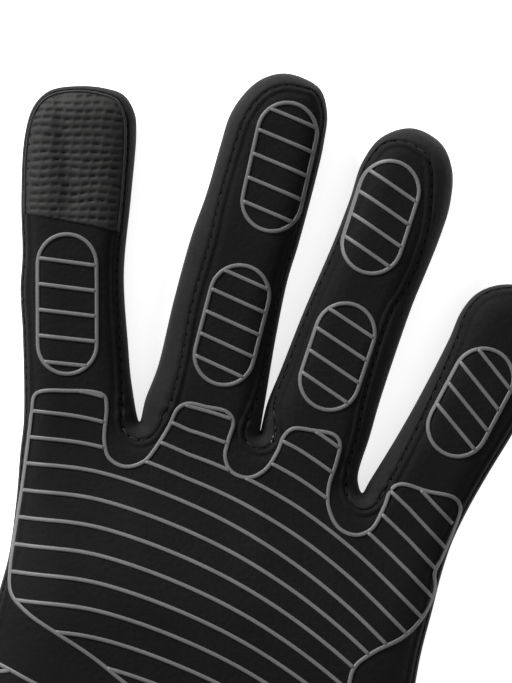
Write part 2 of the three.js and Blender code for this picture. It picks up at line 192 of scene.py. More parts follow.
# line: points of the centre line. left and right: the outline from root to tip and back, as
# (distance across, distance from the tip, width of the side strip on the palm side).
# strips: which sides have a side strip (fourchette) sewn in.
# ovals: how far a grip oval lies across, and the distances from the tip of its ends and its first
# stripe, with the stripes' count, pitch and slant in degrees.
DIGITS = {
    "thumb": {
        "line": [(-18, 64), (-50, 93.5), (-95, 145)],
        "left": [(-14.6, 62, 1.2), (-14, 45, 1), (-13.6, 30, 1), (-12.6, 14, 1), (-10, 5, 1), (-5.5, 1, 1)],
        "tip": [(0, 0, 1)],
        "right": [(6, 0.9, 1), (10.4, 4.5, 1), (12.6, 12, 1), (13.2, 28, 1), (12.7, 45, 1.1)],
        "strips": (False, False),
        "ovals": [],
    },
    "index": {
        "line": [(-25.7, 150), (-27.1, 173.9), (-27.2, 209.3), (-25.5, 242)],
        "left": [
            (-11.5, 76, 0.9), (-11.1, 57, 0.8), (-11.6, 47, 0.8), (-11.2, 39, 0.8),
            (-11.8, 27, 0.8), (-11.8, 12.3, 0.8), (-10.1, 5.2, 1), (-6.6, 1.4, 1.3),
        ],
        "tip": [(0, 0, 1.3), (6, 0.2, 1.6)],
        "right": [
            (10.4, 1.5, 1.9), (13.2, 5.6, 2), (13.8, 10, 1.8), (13.4, 25, 1.4),
            (12.2, 43, 1.4), (13.1, 60, 1.6), (13.7, 69, 1.9),
        ],
        "strips": (False, True),
        "ovals": [
            {"across": -0.4, "ends": (34, 66.6), "first": 40.7, "count": 5, "pitch": 5.8, "slant": 7},
        ],
    },
    "middle": {
        "line": [(-1.5, 152), (3.7, 170.5), (12.4, 204.5), (21.5, 245)],
        "left": [
            (-13.3, 81, 5.8), (-12.5, 73, 5.2), (-12.8, 56.9, 4.5), (-12.4, 41.2, 4.6),
            (-11.3, 31.4, 3.4), (-10.6, 19.8, 3.4), (-9.9, 12.1, 3.6), (-7.6, 6.3, 3.5), (-4.5, 2.4, 3.5),
        ],
        "tip": [(0, 0.1, 3.3), (4.5, 0.1, 2.8)],
        "right": [
            (9.1, 1.8, 1.8), (11.8, 6.6, 1.1), (12.6, 14, 1), (12.6, 21, 1),
            (12, 37.6, 1), (11.5, 46, 1), (12, 58.4, 1.1), (13.3, 73, 1.8),
        ],
        "strips": (True, True),
        "ovals": [
            {"across": 3.9, "ends": (6.6, 37.1), "first": 10.2, "count": 5, "pitch": 5.55, "slant": 10},
            {"across": 1.7, "ends": (45, 73.6), "first": 48.4, "count": 5, "pitch": 5.2, "slant": 10},
        ],
    },
    "ring": {
        "line": [(22, 147), (29.1, 165.3), (39.1, 195.2), (51.1, 232.3)],
        "left": [
            (-11.9, 71, 1.6), (-11.5, 62.2, 1.1), (-10.7, 47.8, 0.9), (-9.1, 29.8, 0.9),
            (-8.6, 20, 0.9), (-8.5, 11, 1), (-6.1, 4.2, 1.8),
        ],
        "tip": [(0, 0, 4.2)],
        "right": [
            (7.3, 1.2, 4.8), (11.6, 6, 5.2), (13.7, 14, 4.8), (13.8, 22, 3.4), (13.2, 31, 2.9),
            (12.7, 37, 3.2), (12.5, 42, 4.3), (12.4, 61.1, 3.9), (12.9, 70, 3.1), (13.7, 79.5, 2.9),
        ],
        "strips": (True, True),
        "ovals": [
            {"across": -0.8, "ends": (8.6, 35.7), "first": 14.4, "count": 4, "pitch": 5.4, "slant": 17},
            {"across": -0.3, "ends": (42.4, 68.1), "first": 46.9, "count": 4, "pitch": 5.35, "slant": 15.5},
        ],
    },
    "little": {
        "line": [(46, 136), (55.7, 153.3), (64.3, 169.6), (78.5, 195.5)],
        "left": [
            (-11.5, 57, 3.6), (-10.9, 44, 2.8), (-10.6, 33.9, 2.2), (-10.9, 19.4, 1.3),
            (-11.5, 12.4, 0.9), (-10.3, 7, 0.9), (-6.4, 2.6, 0.9),
        ],
        "tip": [(0, 0, 0.9)],
        "right": [
            (6, 1, 1), (10, 4.6, 1), (12, 11, 1), (12.4, 21, 1),
            (12.3, 31.9, 1), (11.6, 42.7, 1), (11.4, 51.6, 1),
        ],
        "strips": (True, False),
        "ovals": [
            {"across": -0.2, "ends": (16.5, 43.5), "first": 20.3, "count": 4, "pitch": 5.45, "slant": 23},
        ],
    },
}
# Bottoms of the gaps between neighbouring digits, as (x, y, width of the strip there).
CROTCHES = {
    "index_middle": (-11.6, 164.8, 4),
    "middle_ring": (16.2, 162.6, 3.8),
    "ring_little": (39.6, 148.4, 3.4),
}
THUMB_CROTCH = (-49.6, 112, 1.2)
HAND_LEFT = [(-45.8, 118, 1.1), (-43.7, 125.6, 1), (-41.5, 133.9, 0.9), (-39.8, 147.2, 0.9), (-39, 158, 0.9)]
HAND_RIGHT = [(60.4, 137.3, 1), (58, 130.4, 1), (55.6, 121.4, 1), (52.8, 111, 1), (50, 95, 1), (47, 76, 1)]
WRIST_LEFT = (-33, WRIST, 1)
WRIST_RIGHT = (43, WRIST, 1)
STRIP_END = 9  # distance from a fingertip to the point of a side strip that doesn't go round the tip
LINE_PITCH = 0.5  # between the points of a digit's centre line
TIP_STEPS = 20  # points of the centre line from the tip, back to where the upper part's direction is taken

JOINTS = {joint["name"]: joint for joint in frame["joints"]}


class Hinge:
    """A joint seen in plan: its place, its axis and the direction towards the fingertip."""

    def __init__(self, name, low, high):
        joint = JOINTS[name]
        self.parent, self.child = joint["parent"], joint["child"]
        self.place = np.array(joint["pos_m"])
        self.at = to_plan(joint["pos_m"])
        self.towards_tip = np.array([-joint["axis"][1], joint["axis"][0]])
        self.low, self.high = low, high  # the fabric bends between these distances past the axis

    def past(self, points):
        """How far the plan points lie past the axis, towards the tip."""
        return (np.asarray(points)[:, :2] - self.at) @ self.towards_tip

    def bend(self, piece):
        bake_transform(piece)


class Digit:
    def __init__(self, name, facts):
        self.name = name
        self.facts = facts
        self.line = smooth_curve(facts["line"], LINE_PITCH)
        self.directions = tangents(self.line)
        self.ovals = facts["ovals"]
        if name == "thumb":
            self.knuckle = Hinge("thumb_knuckle", -2, 8)
            self.middle = Hinge("thumb_middle_joint", -6, 6)
        else:
            self.knuckle = Hinge(f"{name}_knuckle", -4.5, 4.5)
            self.middle = Hinge(f"{name}_middle_joint", -5.5, 5.5)
        # Between the two bending zones the fabric is cut into two pieces, halfway.
        spread = self.knuckle.past([self.middle.at])[0]
        self.cut = (self.knuckle.high + self.middle.low - spread) / 2
        tip = self.line[-1] - self.knuckle.at
        self.axis = tip / np.linalg.norm(tip)

    def place(self, across, from_tip):
        """The plan point at a distance to the right of the centre line and a distance from the tip."""
        index = len(self.line) - 1 - from_tip / LINE_PITCH
        low = int(np.clip(math.floor(index), 0, len(self.line) - 2))
        share = index - low
        at = self.line[low] + (self.line[low + 1] - self.line[low]) * share
        direction = self.directions[low]
        return at + np.array([direction[1], -direction[0]]) * across

    def across(self, points):
        """Distance to the right of the straight line from knuckle to tip."""
        offset = np.asarray(points)[:, :2] - self.knuckle.at
        return offset @ np.array([self.axis[1], -self.axis[0]])

    def local(self, points):
        """Plan points as (across, from the tip) along the straight upper part of the digit."""
        direction = self.directions[-TIP_STEPS]
        offset = np.asarray(points)[:, :2] - self.line[-1]
        right = np.array([direction[1], -direction[0]])
        return np.stack([offset @ right, -offset @ direction], axis=1)

    def outline(self):
        """Outline points (x, y, strip width, has a strip) from the left root round the tip."""
        left_strip, right_strip = self.facts["strips"]
        rows = [(row, left_strip and (row[1] > STRIP_END or right_strip)) for row in self.facts["left"]]
        rows += [(row, left_strip and right_strip) for row in self.facts["tip"]]
        rows += [(row, right_strip and (row[1] > STRIP_END or left_strip)) for row in self.facts["right"]]
        return [(*self.place(across, from_tip), width, strip) for (across, from_tip, width), strip in rows]


DIGIT_LIST = [Digit(name, facts) for name, facts in DIGITS.items()]
DIGIT = {digit.name: digit for digit in DIGIT_LIST}
HAND_PART, ROOT_PART, TIP_PART = 0, 1, 2
PART_NAMES = {ROOT_PART: "proximal", TIP_PART: "distal"}
DIGIT_REACH = 17  # further than this from a digit's middle line is no longer that digit
FOLD_MARGIN = 1.3  # the hand's pieces end this much before a knuckle's bending zone


def parts_of(points):
    """For each plan point the index of its digit (-1 for the hand) and its part: hand, root or tip."""
    points = np.asarray(points)[:, :2]
    owner = np.full(len(points), -1)
    part = np.zeros(len(points), int)
    nearest = np.full(len(points), float(DIGIT_REACH))
    for i, digit in enumerate(DIGIT_LIST):
        across = np.abs(digit.across(points))
        mine = (digit.knuckle.past(points) > digit.knuckle.low - FOLD_MARGIN) & (across < nearest)
        nearest[mine] = across[mine]
        owner[mine] = i
        part[mine] = np.where(digit.middle.past(points[mine]) > digit.cut, TIP_PART, ROOT_PART)
    return owner, part


# ---- The outline of the whole glove, from the left of the wrist round to its right ----


def outline_points():
    def plain(rows):
        return [(x, y, width, False) for x, y, width in rows]

    points = plain([WRIST_LEFT, (-33.4, 58, 1), (-36.5, 66, 1), (-46.5, 74.5, 1.1)])
    points += DIGIT["thumb"].outline()
    points += plain([THUMB_CROTCH, *HAND_LEFT])
    points += DIGIT["index"].outline()
    for crotch, digit in zip(CROTCHES.values(), ["middle", "ring", "little"]):
        points += [(*crotch, True)] + DIGIT[digit].outline()
    points += plain([*HAND_RIGHT, (43.6, 59, 1), WRIST_RIGHT])
    return points


FINE = 0.1  # between the points of the outline
NORMAL_BLUR = 0.8
outline = smooth_curve(outline_points(), FINE)


def blurred(values, radius):
    """Values along the outline, smoothed by a bell curve of that radius in millimetres."""
    reach = int(3 * radius / FINE)
    bell = np.exp(-0.5 * (np.arange(-reach, reach + 1) * FINE / radius) ** 2)
    bell /= bell.sum()
    padded = np.pad(values, ((reach, reach), (0, 0)), mode="edge")
    return np.stack([np.convolve(column, bell, "valid") for column in padded.T], axis=1)


def inward_normals():
    normals = blurred(turned_right(tangents(outline)), NORMAL_BLUR)
    # At the wrist the rows run straight across.
    level = smooth_step(outline[:, 1], WRIST + 1, WRIST + 9)
    normals[:, 1] *= level
    return normals / np.linalg.norm(normals, axis=1)[:, None]


outline_normals = inward_normals()
outline_tree = tree_of(outline)


def distance_to_outline(points):
    """Distance from each plan point to the outline."""
    points = np.asarray(points)[:, :2]
    nearest = np.array([outline_tree.find((x, y, 0))[1] for x, y in points])
    best = np.full(len(points), np.inf)
    for shift in (-1, 0):
        low = np.clip(nearest + shift, 0, len(outline) - 2)
        a, b = outline[low, :2], outline[low + 1, :2]
        step = b - a
        share = np.clip(((points - a) * step).sum(1) / (step * step).sum(1), 0, 1)
        best = np.minimum(best, np.linalg.norm(points - a - step * share[:, None], axis=1))
    return best


# ---- The form of the glove: half thickness and roundness over the plan ----

KNUCKLE_LINE = np.array([(-50, 160), (-11, 165), (16, 162), (39, 149), (62, 137)])
PALM_RISE = 46  # from the knuckle line down to the full thickness of the palm
WRIST_TAPER = (70, 108)  # the same way, where the palm thins towards the wrist
THUMB_RISE = (-18, 4)  # along the thumb, past its knuckle, where it takes its own thickness
THUMB_SIDES = (17, 26)  # across the thumb, where that ends
FINGER_ROUND, PALM_ROUND, THUMB_ROUND = 8, 18, 10  # how far in from the edge the surface still rises
EDGE_POWER, TOP_POWER = 2.2, 2.1  # of the superellipse that the section follows
UNEVEN = [(0.3, 24, 3.5), (0.06, 6, 8.5)]  # soft unevenness of the palm side: depth, scale and seed


def form(points):
    """Half thickness and edge roundness at each plan point."""
    x, y = points[:, 0], points[:, 1]
    below = np.interp(x, KNUCKLE_LINE[:, 0], KNUCKLE_LINE[:, 1]) - y
    half = FINGER_HALF + (PALM_HALF - FINGER_HALF) * smooth_step(below, 0, PALM_RISE)
    half -= (PALM_HALF - WRIST_HALF) * smooth_step(below, *WRIST_TAPER)
    roundness = FINGER_ROUND + (PALM_ROUND - FINGER_ROUND) * smooth_step(below, 4, PALM_RISE)
    thumb = DIGIT["thumb"]
    share = smooth_step(thumb.knuckle.past(points), *THUMB_RISE)
    share *= 1 - smooth_step(np.abs(thumb.across(points)), *THUMB_SIDES)
    half += (THUMB_HALF - half) * share
    roundness += (THUMB_ROUND - roundness) * share
    return half, roundness


def bulge(share):
    """Height of the section, from 0 at its edge to 1 on top."""
    rest = 1 - np.clip(share, 0, 1)
    return np.power(np.clip(1 - rest**EDGE_POWER, 0, 1), 1 / TOP_POWER)


def softness(points, scale, seed):
    """Gentle unevenness of a soft fabric, from -1 to 1, at that scale in millimetres."""
    return np.array([noise.noise(Vector((x / scale, y / scale, seed))) for x, y in np.asarray(points)[:, :2]])


DENT = smooth_curve([(-30, 239), (-28.4, 229), (-27, 215)], 0.5)
DENT_DEPTH, DENT_WIDTH = 0.6, 2.2


def dent(points):
    """Depth of the soft dent pressed into the index fingertip."""
    apart = np.min([np.linalg.norm(points - place, axis=1) for place in DENT], axis=0)
    return DENT_DEPTH * np.exp(-((apart / DENT_WIDTH) ** 2))


def height(points, up):
    """Height of the fabric above the floor at plan points, on the palm side (up) or the back."""
    points = np.asarray(points, float)[:, :2]
    half, roundness = form(points)
    share = bulge(distance_to_outline(points) / roundness)
    if not up:
        return half * (1 - share)
    uneven = sum(depth * softness(points, scale, seed) for depth, scale, seed in UNEVEN)
    return half * (1 + share) + uneven * share - dent(points)


# ---- Mesh helpers ----

collection = bpy.context.scene.collection
UPWARD = (0, 0, 1)
ALONG_CUFF = (0, 1, 0)


def vertex_normals(points, faces):
    """Normals of the whole surface at its points, so that pieces cut from it meet without a visible line."""
    normals = np.zeros((len(points), 3))
    for size in {len(face) for face in faces}:
        members = np.array([face for face in faces if len(face) == size])
        across = points[members[:, 2]] - points[members[:, 0]]
        other = points[members[:, -1]] - points[members[:, 1]]
        facing = np.cross(across, other)
        for corner in range(size):
            np.add.at(normals, members[:, corner], facing)
    return normals / np.maximum(np.linalg.norm(normals, axis=1), 1e-9)[:, None]


def add_mesh(name, points, faces, materials, normals=None):
    """A mesh object from plan points; it remembers them as the attribute "rest" for its materials."""
    mesh = bpy.data.meshes.new(name)
    mesh.from_pydata(to_frame(points).tolist(), [], [list(face) for face in faces])
    rest = mesh.attributes.new("rest", "FLOAT_VECTOR", "POINT")
    rest.data.foreach_set("vector", np.asarray(points, np.float32).ravel())
    for material in materials:
        mesh.materials.append(material)
    mesh.shade_smooth()
    if normals is not None:
        sharpen_border(mesh)
        mesh.normals_split_custom_set_from_vertices(normals.tolist())
    obj = bpy.data.objects.new(name, mesh)
    collection.objects.link(obj)
    return obj


def remember(obj, name, values):
    """Keeps one number per point for the piece's material."""
    obj.data.attributes.new(name, "FLOAT", "POINT").data.foreach_set("value", np.asarray(values, np.float32))


def sharpen_border(mesh):
    """Marks open edges sharp, so that the rim of the wall doesn't bend the shading beside it."""
    uses = np.zeros(len(mesh.edges), int)
    loops = np.zeros(len(mesh.loops), int)
    mesh.loops.foreach_get("edge_index", loops)
    np.add.at(uses, loops, 1)
    mesh.edges.foreach_set("use_edge_sharp", uses == 1)


def used_part(points, faces, *others):
    """Only the points that the faces use, the faces renumbered, and the same part of other arrays."""
    used = sorted({i for face in faces for i in face})
    new = {old: k for k, old in enumerate(used)}
    return points[used], [[new[i] for i in face] for face in faces], *[other[used] for other in others]


def thicken(obj, thickness, inner_material=0):
    solid = obj.modifiers.new("wall", "SOLIDIFY")
    solid.thickness = thickness * MM
    solid.offset = -1
    solid.material_offset = inner_material
    solid.material_offset_rim = inner_material


def settle(obj, digit, part, node):
    """Lets a piece of the hand move with the hand and bakes a piece of a digit where it lies; either way the
    piece stands for its CAD node, if it has one.
    """
    if part == HAND_PART:
        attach(obj, "hand")
    elif part == ROOT_PART:
        digit.knuckle.bend(obj)
    else:
        digit.middle.bend(obj)
    if node in frame["nodes"]:
        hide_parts(node)


def islands(faces):
    """A number for each face, the same for all faces that are joined to each other."""
    parent = {}

    def root(i):
        while parent.setdefault(i, i) != i:
            parent[i] = parent[parent[i]]
            i = parent[i]
        return i

    for face in faces:
        for i in face[1:]:
            parent[root(i)] = root(face[0])
    return np.array([root(face[0]) for face in faces])


def close_ends(mesh):
    """Closes lines that were cut between two pieces, with flat faces."""
    work = bmesh.new()
    work.from_mesh(mesh)
    open_edges = [edge for edge in work.edges if edge.is_boundary]
    made = bmesh.ops.holes_fill(work, edges=open_edges, sides=0)
    for face in made["faces"]:
        face.smooth = False
    for edge in open_edges:
        edge.smooth = False
    work.to_mesh(mesh)
    work.free()


def centres(points, faces):
    return np.array([points[list(face)].mean(axis=0) for face in faces])


def joined_meshes(meshes):
    points, faces, offset = [], [], 0
    for p, f in meshes:
        points.append(np.asarray(p))
        faces += [[i + offset for i in face] for face in f]
        offset += len(p)
    return np.vstack(points), faces


def loft(rings, closed=False, capped=False):
    """Points and faces over a row of rings; closed joins the last ring to the first, capped fills both."""
    count = len(rings[0])
    faces = []
    for r in range(len(rings) if closed else len(rings) - 1):
        s = (r + 1) % len(rings)
        for k in range(count):
            n = (k + 1) % count
            faces.append((r * count + k, r * count + n, s * count + n, s * count + k))
    if capped:
        last = (len(rings) - 1) * count
        faces.append(range(count)[::-1])
        faces.append(range(last, last + count))
    return np.vstack(rings), faces


def circles(along, axis, sides):
    """Points of unit circles round the given directions, none of which runs along the axis."""
    side = np.cross(along, axis)
    side /= np.linalg.norm(side, axis=-1, keepdims=True)
    up = np.cross(along, side)
    angles = np.linspace(0, 2 * math.pi, sides, endpoint=False)[:, None]
    return side[..., None, :] * np.cos(angles) + up[..., None, :] * np.sin(angles)


def around(closed_row):
    """Unit directions along a closed row of points."""
    steps = np.roll(closed_row, -1, axis=0) - np.roll(closed_row, 1, axis=0)
    return steps / np.linalg.norm(steps, axis=1)[:, None]


def tube(path, radius, axis=UPWARD, sides=8, closed=False):
    """A round tube along points in space that never run along the axis."""
    steps = np.gradient(path, axis=0)
    along = around(path) if closed else steps / np.linalg.norm(steps, axis=1)[:, None]
    return loft(path[:, None] + circles(along, axis, sides) * radius, closed, capped=not closed)


def add_by_part(points, faces, name_of, materials, slot, whole=False):
    """Cuts a mesh into hand, root and tip pieces, called name_of(digit name, part) and, where a CAD node
    has that name, standing for it. With whole, what is joined stays in one piece."""
    points = np.asarray(points, float)
    places = centres(points, faces)
    if whole:
        joined_to = islands(faces)
        for island in np.unique(joined_to):
            places[joined_to == island] = places[joined_to == island].mean(axis=0)
    owner, part = parts_of(places)
    groups = {}
    for face, o, p in zip(faces, owner, part):
        groups.setdefault((int(o), int(p)), []).append(face)
    for (o, p), members in sorted(groups.items()):
        digit = DIGIT_LIST[o] if o >= 0 else None
        node = name_of(digit.name if digit else "hand", PART_NAMES.get(p, ""))
        obj = add_mesh(f"{node}_detail", *used_part(points, members), materials)
        close_ends(obj.data)
        settle(obj, digit, p, node)


def triangulated(border, spacing, keep_off):
    """Fills a closed border with even triangles. Returns the points, border first, and the triangles."""
    low, high = border.min(axis=0), border.max(axis=0)
    rise = spacing * math.sqrt(3) / 2
    rows = []
    for k, y in enumerate(np.arange(low[1], high[1], rise)):
        xs = np.arange(low[0] + (k % 2) * spacing / 2, high[0], spacing)
        rows.append(np.stack([xs, np.full(len(xs), y)], axis=1))
    grid = np.vstack(rows)
    grid = grid[inside(grid, border)]
    grid = grid[distance_to_nearest(grid, border) > keep_off]
    every = np.vstack([border, grid])
    edges = [(i, (i + 1) % len(border)) for i in range(len(border))]
    found = delaunay_2d_cdt([Vector(p) for p in every], edges, [], 1, 1e-5)
    if len(found[0]) != len(every):
        print("border of a filled panel crosses itself", len(found[0]), len(every))
    points = np.array([tuple(p) for p in found[0]])
    triangles = []
    for face in found[2]:
        a, b, c = (points[i] for i in face[:3])
        turn = (b[0] - a[0]) * (c[1] - a[1]) - (b[1] - a[1]) * (c[0] - a[0])
        triangles.append(list(face) if turn > 0 else list(face)[::-1])
    return points, triangles


# ---- Materials ----


WAVE_FACTOR = 20  # Blender's own factor in the scale of its wave texture


class Nodes:
    """Short calls for building one material's node tree."""

    def __init__(self, name):
        self.material = bpy.data.materials.new(name)
        self.material.use_nodes = True
        self.tree = self.material.node_tree
        self.shader = self.tree.nodes["Principled BSDF"]
        self.rest = self.add("ShaderNodeAttribute", attribute_name="rest").outputs["Vector"]

    def add(self, kind, inputs=None, **settings):
        node = self.tree.nodes.new(kind)
        for key, value in settings.items():
            setattr(node, key, value)
        for key, value in (inputs or {}).items():
            if isinstance(value, bpy.types.NodeSocket):
                self.tree.links.new(value, node.inputs[key])
            else:
                node.inputs[key].default_value = value
        return node

    def product(self, a, b):
        return self.add("ShaderNodeMath", {0: a, 1: b}, operation="MULTIPLY").outputs[0]

    def weighted(self, *terms):
        """The sum of values, each times its weight."""
        total = 0.0
        for value, weight in terms:
            inputs = {0: value, 1: weight, 2: total}
            total = self.add("ShaderNodeMath", inputs, operation="MULTIPLY_ADD").outputs[0]
        return total

    def point_value(self, name):
        return self.add("ShaderNodeAttribute", attribute_name=name).outputs["Fac"]

    def wave(self, direction, period, distortion=0.0):
        """A sine wave from 0 to 1 with that period in millimetres."""
        scale = 2 * math.pi / WAVE_FACTOR / period
        inputs = {"Vector": self.rest, "Scale": scale, "Distortion": distortion, "Detail": 1.0}
        return self.add("ShaderNodeTexWave", inputs, bands_direction=direction).outputs["Fac"]

    def noise(self, size, detail=3.0):
        inputs = {"Vector": self.rest, "Scale": 1 / size, "Detail": detail}
        return self.add("ShaderNodeTexNoise", inputs).outputs["Fac"]

    def colour(self, value, dark, light):
        ramp = self.add("ShaderNodeMapRange", {"Value": value, "To Min": 0.0, "To Max": 1.0})
        mix = self.add("ShaderNodeMix", {"Factor": ramp.outputs[0]}, data_type="RGBA")
        mix.inputs["A"].default_value = (*dark, 1)
        mix.inputs["B"].default_value = (*light, 1)
        self.tree.links.new(mix.outputs["Result"], self.shader.inputs["Base Color"])

    def bump(self, height_value, depth, strength=1.0):
        inputs = {"Height": height_value, "Distance": depth * MM, "Strength": strength}
        node = self.add("ShaderNodeBump", inputs)
        self.tree.links.new(node.outputs["Normal"], self.shader.inputs["Normal"])

    def set(self, **values):
        for key, value in values.items():
            self.shader.inputs[key.replace("_", " ")].default_value = value


def grey(level, warmth=0.0):
    return (level * (1 + warmth), level, level * (1 - warmth))


def knit_material(name, level, sheen, wale=0.62, course=0.5):
    """Smooth, fine jersey: rows of tiny loops, a soft nap and slightly uneven dye, with painted shade
    darkening the seams.
    """
    m = Nodes(name)
    loops = m.product(m.wave("X", wale, 0.25), m.wave("Y", course, 0.25))
    nap = m.noise(1.1, 4)
    # Painted shade: the colour is darkened along the seams, standing in for the shade in their grooves.
    dye_and_seam_shade = m.weighted((m.noise(9), 0.4), (nap, 0.5), (loops, 0.12), (m.point_value("sewn"), -0.9))
    m.colour(dye_and_seam_shade, grey(level * 0.1), grey(level * 1.9))
    m.bump(m.weighted((loops, 0.25), (nap, 1.6)), 0.1)
    m.set(Roughness=0.75, Specular_IOR_Level=0.08, Sheen_Weight=sheen, Sheen_Roughness=0.6)
    return m.material


def rib_material(name, level):
    """Rib knit: plain columns of loops, tied across."""
    m = Nodes(name)
    loops = m.product(m.wave("X", 0.8, 0.3), m.wave("Y", 0.7, 0.3))
    m.colour(m.weighted((m.noise(6), 0.5), (loops, 0.5)), grey(level * 0.7), grey(level * 1.3))
    m.bump(m.weighted((loops, 1), (m.noise(0.4, 4), 0.5)), 0.12)
    m.set(Roughness=0.92, Specular_IOR_Level=0.12, Sheen_Weight=0.12, Sheen_Roughness=0.6)
    return m.material


def fleece_material(name, level):
    """The brushed inside of the fabric."""
    m = Nodes(name)
    fluff = m.weighted((m.noise(0.5, 5), 1), (m.noise(2.5, 3), 0.8))
    m.colour(fluff, grey(level * 0.4), grey(level * 1.2))
    m.bump(fluff, 0.5)
    m.set(Roughness=0.97, Specular_IOR_Level=0.08, Sheen_Weight=0.25, Sheen_Roughness=0.7)
    return m.material


def silicone_material(name, level):
    """Dull silicone, faintly uneven."""
    m = Nodes(name)
    m.colour(m.noise(3.5), grey(level * 0.82), grey(level * 1.15))
    m.bump(m.noise(0.5, 2), 0.03)
    m.set(Roughness=0.55, Specular_IOR_Level=0.3)
    return m.material


def patch_material(name, level):
    """Rubbery film, worn lighter in places, with painted shade darkening its dimples."""
    m = Nodes(name)
    # Painted shade: the dimple attribute darkens the colour in the dimples, where they lie in shade.
    wear_and_dimple_shade = m.weighted((m.noise(5), 0.6), (m.noise(0.4, 3), 0.25), (m.point_value("dimple"), -0.7))
    m.colour(wear_and_dimple_shade, grey(level * 0.45, 0.03), grey(level * 1.7, 0.04))
    m.bump(m.noise(0.25, 3), 0.05)
    m.set(Roughness=0.68, Specular_IOR_Level=0.2, Sheen_Weight=0.06, Sheen_Roughness=0.5)
    return m.material


def thread_material(name, level):
    """Twisted polyester thread."""
    m = Nodes(name)
    m.colour(m.noise(0.7), grey(level * 0.7), grey(level * 1.3))
    m.bump(m.wave("DIAGONAL", 0.35), 0.06)
    m.set(Roughness=0.7, Specular_IOR_Level=0.2, Sheen_Weight=0.1)
    return m.material


PALM_KNIT = knit_material("palm_knit", 0.0034, 0.016)
BACK_KNIT = knit_material("back_knit", 0.0058, 0.025, wale=0.7, course=0.6)
SIDE_KNIT = knit_material("side_knit", 0.0062, 0.035, wale=0.55, course=0.5)
LINING = fleece_material("brushed_lining", 0.02)
RIB_KNIT = rib_material("rib_knit", 0.0085)
ELASTIC = rib_material("ribbed_elastic", 0.02)
SILICONE = silicone_material("silicone", 0.092)
PATCH = patch_material("conductive_film", 0.0105)
THREAD = thread_material("sewing_thread", 0.008)


# ---- Fabric of hand and digits ----

# Look and material slot of each kind of fabric.
FABRICS = {
    "palm": (PALM_KNIT, "palm_knit"),
    "back": (BACK_KNIT, "back_knit"),
    "side": (SIDE_KNIT, "side_knit"),
}
SPACING = 1.0
PANEL_SPACING, PANEL_KEEP_OFF = 1.15 * SPACING, 0.62 * SPACING  # of the points inside a panel
END_SPACING = 1.2 * SPACING  # of the points along a straight end
# Rows on the panel side of a seam, from the panel inwards to the seam: distance from the seam and
# relief. The seam is a groove, with a rolled ridge beside it and a shallow trough behind the ridge.
SEAM_ROWS = [(2.5, 0), (1.95, -0.24), (1.5, -0.1), (1.05, 0.2), (0.6, 0.16), (0.28, -0.2), (0, -0.75)]
# Rows of the strip between the seam and the glove's edge, as shares of its width, and relief. The first
# one stays close to the seam.
STRIP_ROWS = [(0.94, 0.02), (0.72, 0.06), (0.42, 0.02), (0.14, 0), (0, 0)]
BACK_INSET = 3.2  # from the glove's edge to the seam of the back panel
BACK_RELIEF = 0.6  # of the palm side's relief
# Puckers: small gathers along the seams, deepest at the bottoms of the gaps between the fingers.
PUCKER_LEAST, PUCKER_MOST = 0.08, 0.5
PUCKER_FADE = (2, 13)  # distances from the bottom of a gap
PUCKER_PITCH, PUCKER_DRIFT = 3.7, 9
STRIP_PUCKER = 0.7  # share of a pucker that crosses the strip


def stations():
    """Points, inward normals, strip widths and strip flags about one spacing apart, both on the outline
    and on the seams."""
    reach = SEAM_ROWS[0][0]
    tracks = [outline[:, :2]]
    for inset in (outline[:, 2], np.full(len(outline), BACK_INSET)):
        tracks.append(outline[:, :2] + outline_normals * (inset + reach)[:, None])
    steps = np.max([np.linalg.norm(np.diff(track, axis=0), axis=1) for track in tracks], axis=0)
    travelled = np.concatenate([[0], np.cumsum(steps)])
    at = np.linspace(0, travelled[-1], round(travelled[-1] / SPACING) + 1)
    everything = np.column_stack([outline, outline_normals, np.arange(len(outline)) * FINE])
    found = np.stack([np.interp(at, travelled, column) for column in everything.T], axis=1)
    normals = found[:, 4:6] / np.linalg.norm(found[:, 4:6], axis=1)[:, None]
    return found[:, :2], normals, found[:, 2], found[:, 3] > 0.5, found[:, 6]


station_points, station_normals, station_inset, station_strip, station_travel = stations()
STATIONS = len(station_points)
BACK_INSETS = np.full(STATIONS, BACK_INSET)


def row_points(offset):
    return station_points + station_normals * offset[:, None]


def banded_rows():
    """All the rows round the glove's edge, from the palm panel over the edge to the back panel, as
    (plan points, on the palm side, relief)."""
    rows = []
    crotch_points = np.array([crotch[:2] for crotch in CROTCHES.values()])
    apart = np.linalg.norm(station_points[:, None] - crotch_points[None], axis=2).min(axis=1)
    fading = 1 - smooth_step(apart, *PUCKER_FADE)
    gathered = PUCKER_LEAST + (PUCKER_MOST - PUCKER_LEAST) * fading
    turn = station_travel * 2 * math.pi / PUCKER_PITCH
    pucker = gathered * np.sin(turn + 2 * np.sin(station_travel / PUCKER_DRIFT))
    for past, relief in SEAM_ROWS:
        rows.append((row_points(station_inset + past), True, relief + pucker * math.exp(-past)))
    for share, relief in STRIP_ROWS:
        relief = relief + STRIP_PUCKER * pucker * share**2
        rows.append((row_points(station_inset * share), True, relief))
    for share, relief in STRIP_ROWS[-2::-1]:
        rows.append((row_points(BACK_INSETS * share), False, relief))
    for past, relief in SEAM_ROWS[::-1]:
        rows.append((row_points(BACK_INSETS + past), False, relief * BACK_RELIEF))
    return rows


def lifted(points, up, relief=0.0):
    """Plan points with their height; relief stands out of the surface."""
    z = height(points, up) + (relief if up else -np.asarray(relief))
    return np.column_stack([points[:, :2], np.maximum(z, 0)])


def straight_end(a, b):
    """Points between the ends of a row, in a straight line."""
    count = max(2, round(np.linalg.norm(b - a) / END_SPACING))
    shares = np.linspace(0, 1, count + 1)[1:-1, None]
    return a + (b - a) * shares


